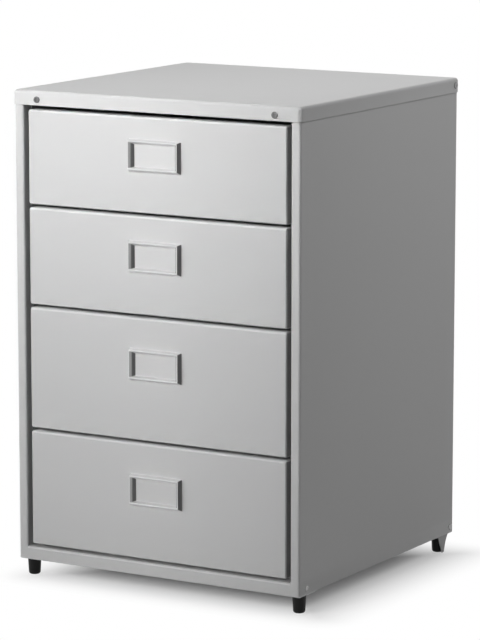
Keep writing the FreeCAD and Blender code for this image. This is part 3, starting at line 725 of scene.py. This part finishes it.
def screwTree():
    shape = screwShape
    tree, wire, given = newTree("crossHeadScrew", screwSizes)
    disc, x, y, reach, span, lift = headDisc(wire, given, shape["rim"], shape["walls"], shape["rings"])
    top = ((lift - shape["recessFrom"]) * shape["recessSlope"]).clamped()
    curve = shape["crown"] * span ** 2.0 + shape["shoulder"] * span ** 9.0
    dome = given["Head Height"] * curve * lift ** 3.0

    def inside(value, width):
        return ((width * 0.5 - abs(value)) / shape["recessSoft"] + 0.5).clamped()

    armOne = inside(x, given["Recess Width"]) * inside(y, given["Recess Length"])
    armTwo = inside(y, given["Recess Width"]) * inside(x, given["Recess Length"])
    cross = wire.maths("MAXIMUM", armOne, armTwo)
    sunk = dome + top * cross * given["Recess Depth"]
    onPoints(tree, wire, given, headAndShank(tree, wire, given, disc, sunk, shape["shankRim"]))
    return tree


# blind rivet: low dome with a dimple where its pin broke off
rivetSizes = {"Head Diameter": 7.0 * mm, "Head Height": 1.3 * mm, "Pin Diameter": 2.0 * mm,
              "Pin Depth": 0.35 * mm, "Shank Diameter": 3.2 * mm, "Shank Length": 5.0 * mm, "Seed": 3}
rivetShape = dict(rim=40, walls=3, rings=10, shankRim=20, crown=0.72, pinSoft=0.25 * mm)


def rivetTree():
    shape = rivetShape
    tree, wire, given = newTree("blindRivet", rivetSizes)
    disc, x, y, reach, span, lift = headDisc(wire, given, shape["rim"], shape["walls"], shape["rings"])
    dome = given["Head Height"] * shape["crown"] * span ** 2.4 * lift
    pin = ((given["Pin Diameter"] * 0.5 - reach) / shape["pinSoft"] + 0.5).clamped()
    dimple = pin * given["Pin Depth"] * lift
    onPoints(tree, wire, given, headAndShank(tree, wire, given, disc, dome + dimple, shape["shankRim"]))
    return tree


# where they sit: the front screws across and up the skirt, the rear ones back and up, the rivets along and up
placeSizes = dict(screwAcross=165.0 * mm, screwRise=7.0 * mm, rearScrew=191.3 * mm, rearScrewRise=9.0 * mm,
                  rivetFront=-178.1 * mm, rivetRear=192.3 * mm, rivetLevel=30.5 * mm)


def makeFasteners():
    size = placeSizes
    coverLow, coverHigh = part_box("top_cover")
    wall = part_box("base_pan")[1].x
    screws = []
    rivets = []
    for side in (-1, 1):
        screws.append(((size["screwAcross"] * side, coverLow.y, coverLow.z + size["screwRise"]), (0, -1, 0)))
        rear = (coverHigh.x * side, size["rearScrew"], coverLow.z + size["rearScrewRise"])
        screws.append((rear, (side, 0, 0)))
        for y in (size["rivetFront"], size["rivetRear"]):
            rivets.append(((wall * side, y, size["rivetLevel"]), (side, 0, 0)))
    dressPoints("coverScrews", screws, screwTree(), screwSizes, "cabinet", "plated_fastener", "cover_screws")
    dressPoints("baseRivets", rivets, rivetTree(), rivetSizes, "cabinet", "plated_fastener", "base_rivets")


makeFasteners()
print("screws and rivets made")


# what shows white: rays from the camera, off a gloss or through a clear piece
def seenRays(wire):
    path = wire.tree.nodes.new("ShaderNodeLightPath")
    seen = Wire(wire.tree, path.outputs["Is Camera Ray"])
    for ray in ("Is Glossy Ray", "Is Transmission Ray"):
        seen = wire.maths("MAXIMUM", seen, Wire(wire.tree, path.outputs[ray]))
    return seen


# pale floor: white to the camera away from the object, and it keeps the shadow
floorSizes = dict(reach=9.0, middle=0.0215, halfWide=0.1960, halfDeep=0.183,
                  clearFrom=-0.080, clearTo=0.064, glow=0.055, pale=0.88, speckScale=40.0)


def makeFloor():
    size = floorSizes
    mesh = bpy.data.meshes.new("floor")
    r = size["reach"]
    mesh.from_pydata([(-r, -r, 0), (r, -r, 0), (r, r, 0), (-r, r, 0)], [], [(0, 1, 2, 3)])
    floor = bpy.data.objects.new("floor", mesh)
    bpy.context.scene.collection.objects.link(floor)
    look, shader, wire = newLook("paleFloor")
    place = wire.node("ShaderNodeTexCoord", out="Object")
    speck = noise(wire, place, size["speckScale"], detail=3.0)
    feed(wire, shader, {
        "Base Color": blended(wire, speck, grey(0.31), grey(0.35)),
        "Roughness": 0.75 + speck * 0.1,
        "Specular IOR Level": 0.2})
    split = [wire.node("ShaderNodeSeparateXYZ", {}, {0: place}, out=k) for k in range(2)]
    wide = abs(split[0] - size["middle"]) - size["halfWide"]
    deep = abs(split[1]) - size["halfDeep"]
    wideOut = wire.maths("MAXIMUM", wide, 0.0)
    deepOut = wire.maths("MAXIMUM", deep, 0.0)
    under = wire.maths("MINIMUM", wire.maths("MAXIMUM", wide, deep), 0.0)
    away = (wideOut * wideOut + deepOut * deepOut) ** 0.5 + under
    clear = wire.node("ShaderNodeMapRange", {"interpolation_type": "SMOOTHSTEP"}, {
        "Value": away, "From Min": size["clearFrom"], "From Max": size["clearTo"]})
    white = wire.node("ShaderNodeEmission", {}, {"Color": (1, 1, 1, 1), "Strength": 1.0})
    glow = wire.node("ShaderNodeEmission", {}, {"Color": (1, 1, 1, 1), "Strength": size["glow"]})
    plain = Wire(wire.tree, shader.outputs[0])
    pale = wire.node("ShaderNodeBsdfDiffuse", {}, {"Color": grey(size["pale"])})
    lifted = wire.node("ShaderNodeAddShader", {}, {0: pale, 1: glow})
    shown = wire.node("ShaderNodeMixShader", {}, {0: clear, 1: lifted, 2: white})
    final = wire.node("ShaderNodeMixShader", {}, {0: seenRays(wire), 1: plain, 2: shown})
    wire.tree.links.new(final.socket, wire.tree.nodes["Material Output"].inputs["Surface"])
    mesh.materials.append(look)


makeFloor()


# soft studio light: a dome from the left, a softbox with a narrow beam high at the front left,
# a fill beside it, weaker ones low in front, above, right and behind
lightSizes = dict(domeLeft=0.527, openSpread=180, lamps=(
    dict(name="key", place=(-0.48, -2.17, 1.5), aim=(-0.08, -0.195, 0.69), width=0.5, power=1.56, spread=31),
    dict(name="fill", place=(-0.90, -1.60, 0.80), aim=(0.0, -0.2, 0.38), width=0.60, power=8.00),
    dict(name="low", place=(-0.50, -1.90, 0.14), aim=(-0.02, -0.2, 0.0), width=0.40, power=0.12, spread=24),
    dict(name="overhead", place=(0.35, 0.35, 1.50), aim=(0.1, 0.1, 0.60), width=0.60, power=0.22),
    dict(name="edge", place=(1.25, 0.42, 1.45), aim=(0.2, 0.0, 0.60), width=0.80, power=6.35),
    dict(name="rear", place=(-0.35, 2.60, 0.85), aim=(0.0, 0.2, 0.30), width=1.00, power=8.0)))


def makeLights():
    size = lightSizes
    world = bpy.data.worlds.new("studio")
    bpy.context.scene.world = world
    world.use_nodes = True
    tree = world.node_tree
    wire = Wire(tree)
    facing = wire.node("ShaderNodeTexCoord", out="Generated")
    across = wire.node("ShaderNodeSeparateXYZ", {}, {0: facing}, out=0)
    left = wire.maths("MAXIMUM", 0.0 - across, 0.0)
    dome = wire.node("ShaderNodeBackground", {}, {"Color": (1, 1, 1, 1), "Strength": left * size["domeLeft"]})
    white = wire.node("ShaderNodeBackground", {}, {"Color": (1, 1, 1, 1), "Strength": 1.0})
    mixed = wire.node("ShaderNodeMixShader", {}, {0: seenRays(wire), 1: dome, 2: white})
    tree.links.new(mixed.socket, tree.nodes["World Output"].inputs["Surface"])
    for each in size["lamps"]:
        lamp = bpy.data.lights.new(each["name"], "AREA")
        lamp.shape = "SQUARE"
        lamp.size = each["width"]
        lamp.energy = each["power"]
        lamp.spread = math.radians(each.get("spread", size["openSpread"]))
        softbox = bpy.data.objects.new(each["name"], lamp)
        softbox.location = each["place"]
        aim = Vector(each["aim"]) - Vector(each["place"])
        softbox.rotation_euler = aim.to_track_quat("-Z", "Y").to_euler()
        softbox.visible_glossy = False
        bpy.context.scene.collection.objects.link(softbox)


makeLights()


# camera at the photograph's angle
cameraSizes = dict(turn=30.58206, tilt=9.7314, away=4.26107, shiftRight=0.02003, shiftUp=0.03934,
                   lens=191.962, sensor=36, clipEnd=60, aim=(0.0, 0.0421, 0.342))


def makeCamera():
    size = cameraSizes
    turn = math.radians(size["turn"])
    tilt = math.radians(size["tilt"])
    right = Vector((math.cos(turn), math.sin(turn), 0))
    back = Vector((math.sin(turn) * math.cos(tilt), -math.cos(turn) * math.cos(tilt), math.sin(tilt)))
    up = back.cross(right)
    lens = bpy.data.cameras.new("camera")
    lens.lens = size["lens"]
    lens.sensor_width = size["sensor"]
    lens.sensor_fit = "AUTO"
    lens.clip_end = size["clipEnd"]
    camera = bpy.data.objects.new("camera", lens)
    place = Vector(size["aim"]) + back * size["away"] - right * size["shiftRight"] - up * size["shiftUp"]
    matrix = camera.matrix_world.copy()
    for k in range(3):
        matrix[k][0] = right[k]
        matrix[k][1] = up[k]
        matrix[k][2] = back[k]
        matrix[k][3] = place[k]
    camera.matrix_world = matrix
    bpy.context.scene.collection.objects.link(camera)
    bpy.context.scene.camera = camera


makeCamera()
bpy.context.scene.view_settings.view_transform = "Standard"
print("camera and lights set")
